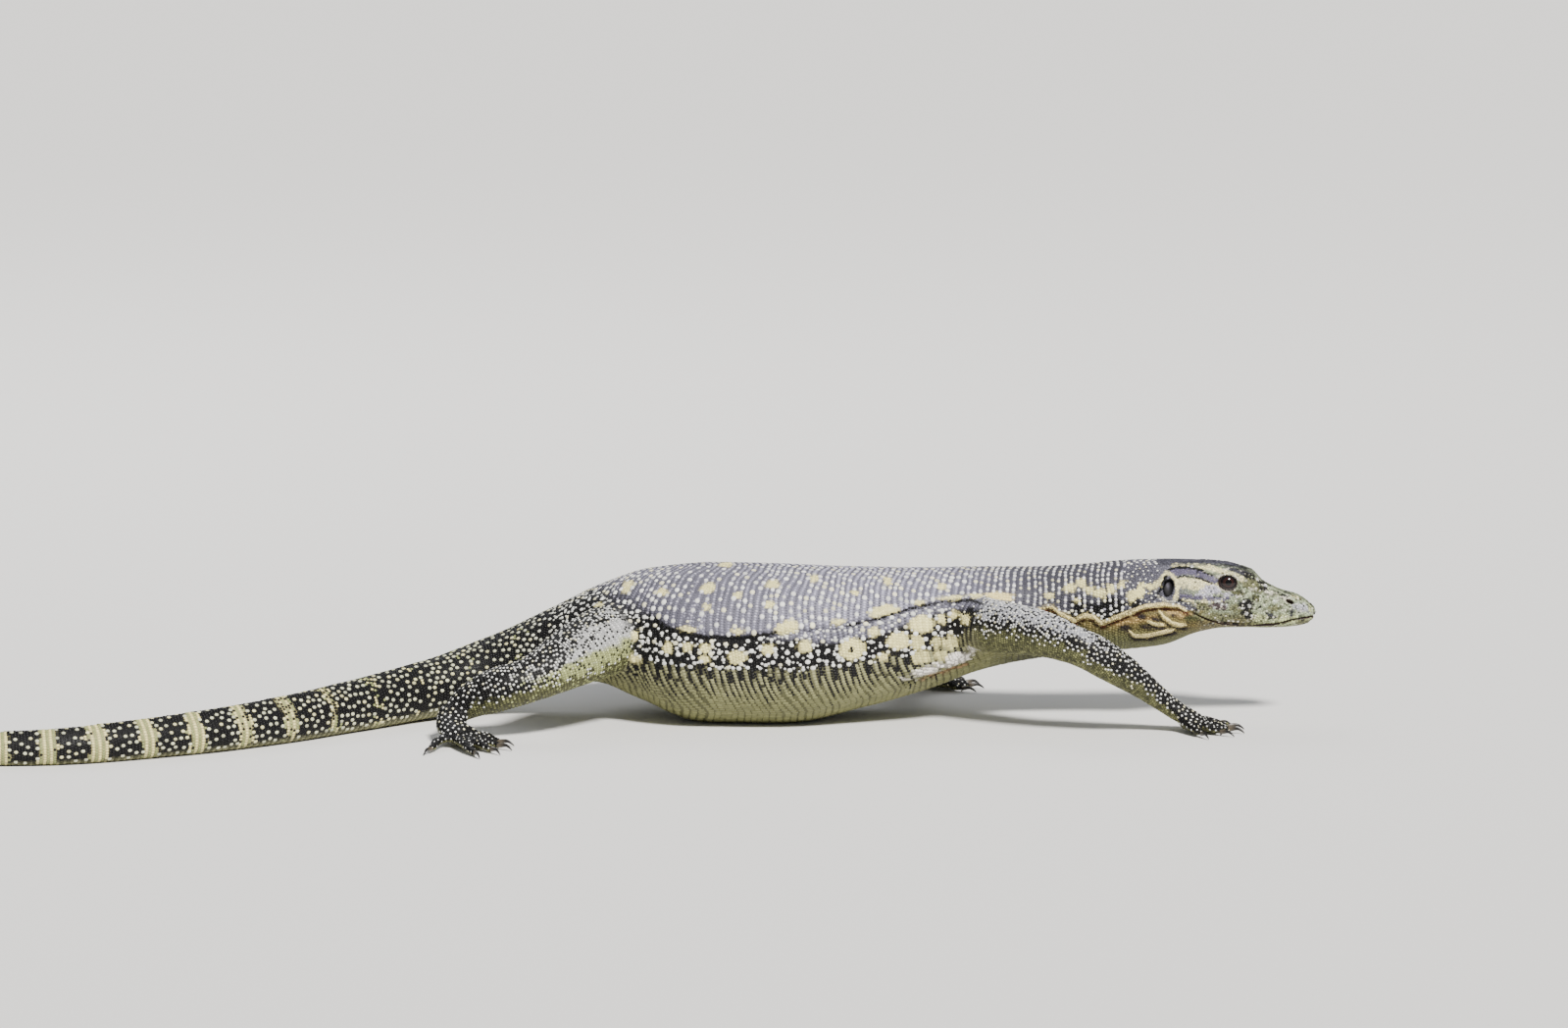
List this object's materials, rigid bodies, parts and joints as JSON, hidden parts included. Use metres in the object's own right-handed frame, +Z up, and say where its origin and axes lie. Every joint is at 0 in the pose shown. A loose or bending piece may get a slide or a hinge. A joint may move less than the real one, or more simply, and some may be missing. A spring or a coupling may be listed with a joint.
{
  "type": "water monitor lizard, life-size still model",
  "caption": "Life-size still model of a water monitor lizard walking low, belly on the floor, right foreleg reaching forward and right hind leg pushing back.",
  "frame": {"origin": "on the floor, under the middle of the belly, at the centre line of the flat that the animal lies on", "axes": "+X towards the nose, +Y towards the animal's left, +Z up from the floor"},
  "size_m": [1.3129, 0.4174, 0.1155],
  "materials": {
    "hide_head": "pale yellow-green scaly hide with dark speckles, cream cheek patch and slate temple band",
    "hide_body": "slate-black beaded hide with cream dots and ring spots, olive-yellow belly",
    "hide_tail": "black beaded hide with yellow-green dots and cross bands",
    "hide_limb": "black beaded hide with dense cream dots, yellow-green underneath",
    "eye": "wet, very dark maroon-brown eye with a round pupil",
    "claw": "smooth dark horn",
    "eardrum": "thin grey membrane, slightly shiny"
  },
  "bodies": {
    "root": {"eardrum_left": "eardrum", "eardrum_right": "eardrum", "eye_left": "eye", "eye_right": "eye", "foot_claw_1_left": "claw", "foot_claw_1_right": "claw", "foot_claw_2_left": "claw", "foot_claw_2_right": "claw", "foot_claw_3_left": "claw", "foot_claw_3_right": "claw", "foot_claw_4_left": "claw", "foot_claw_4_right": "claw", "foot_claw_5_left": "claw", "foot_claw_5_right": "claw", "foot_left": "hide_limb", "foot_right": "hide_limb", "forearm_left": "hide_limb", "forearm_right": "hide_limb", "hand_claw_1_left": "claw", "hand_claw_1_right": "claw", "hand_claw_2_left": "claw", "hand_claw_2_right": "claw", "hand_claw_3_left": "claw", "hand_claw_3_right": "claw", "hand_claw_4_left": "claw", "hand_claw_4_right": "claw", "hand_claw_5_left": "claw", "hand_claw_5_right": "claw", "hand_left": "hide_limb", "hand_right": "hide_limb", "head": "hide_head", "lower_jaw": "hide_head", "neck": "hide_body", "shank_left": "hide_limb", "shank_right": "hide_limb", "tail_1": "hide_tail", "tail_2": "hide_tail", "tail_3": "hide_tail", "tail_4": "hide_tail", "tail_5": "hide_tail", "thigh_left": "hide_limb", "thigh_right": "hide_limb", "trunk_front": "hide_body", "trunk_middle": "hide_body", "trunk_rear": "hide_body", "upper_arm_left": "hide_limb", "upper_arm_right": "hide_limb"}
  },
  "joints": []
}
